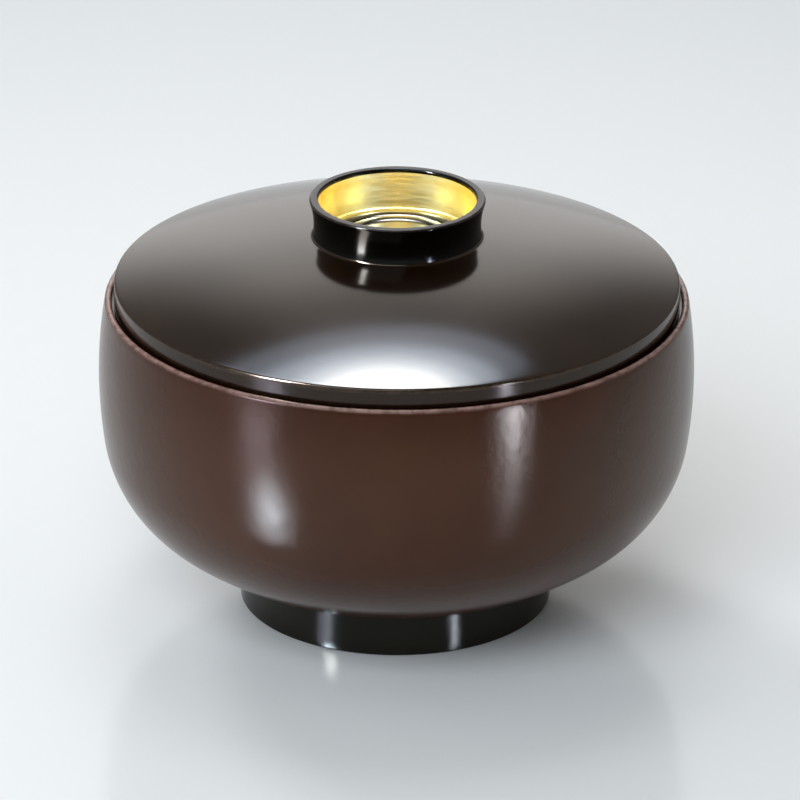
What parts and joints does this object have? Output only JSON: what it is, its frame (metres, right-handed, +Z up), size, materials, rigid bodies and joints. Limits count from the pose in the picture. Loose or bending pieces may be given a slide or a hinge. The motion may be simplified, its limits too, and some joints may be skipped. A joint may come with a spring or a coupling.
{
  "type": "covered soup bowl",
  "caption": "Deep round lacquered soup bowl on a foot ring, closed by a low domed lid that drops inside the rim and lifts off by a gold-lined ring knob.",
  "frame": {"origin": "centre of the foot ring, on the surface the bowl stands on", "axes": "+Z up along the axis of the turning; +X and +Y are any two level directions at right angles, because the object is round"},
  "size_m": [0.1289, 0.1288, 0.0926],
  "materials": {
    "turned_wood": "turned, hidden under the lacquer",
    "brown_satin_lacquer": "satin brown lacquer",
    "brown_gloss_lacquer": "mirror gloss dark brown lacquer",
    "black_gloss_lacquer": "gloss black lacquer",
    "gold_finish": "gold powder in lacquer, softly polished"
  },
  "bodies": {
    "bowl": {"bowl_core": "turned_wood", "bowl_outer_lacquer": "brown_satin_lacquer", "bowl_inner_lacquer": "black_gloss_lacquer", "foot_lacquer": "black_gloss_lacquer"},
    "lid": {"lid_core": "turned_wood", "lid_outer_lacquer": "brown_gloss_lacquer", "lid_inner_lacquer": "black_gloss_lacquer", "knob_lacquer": "black_gloss_lacquer", "knob_gold": "gold_finish", "knob_floor_lacquer": "brown_gloss_lacquer"}
  },
  "joints": [
    {"name": "lid_lift", "type": "slide", "parent": "bowl", "child": "lid", "axis": [0, 0, 1], "range_m": [0, 0.08]}
  ]
}
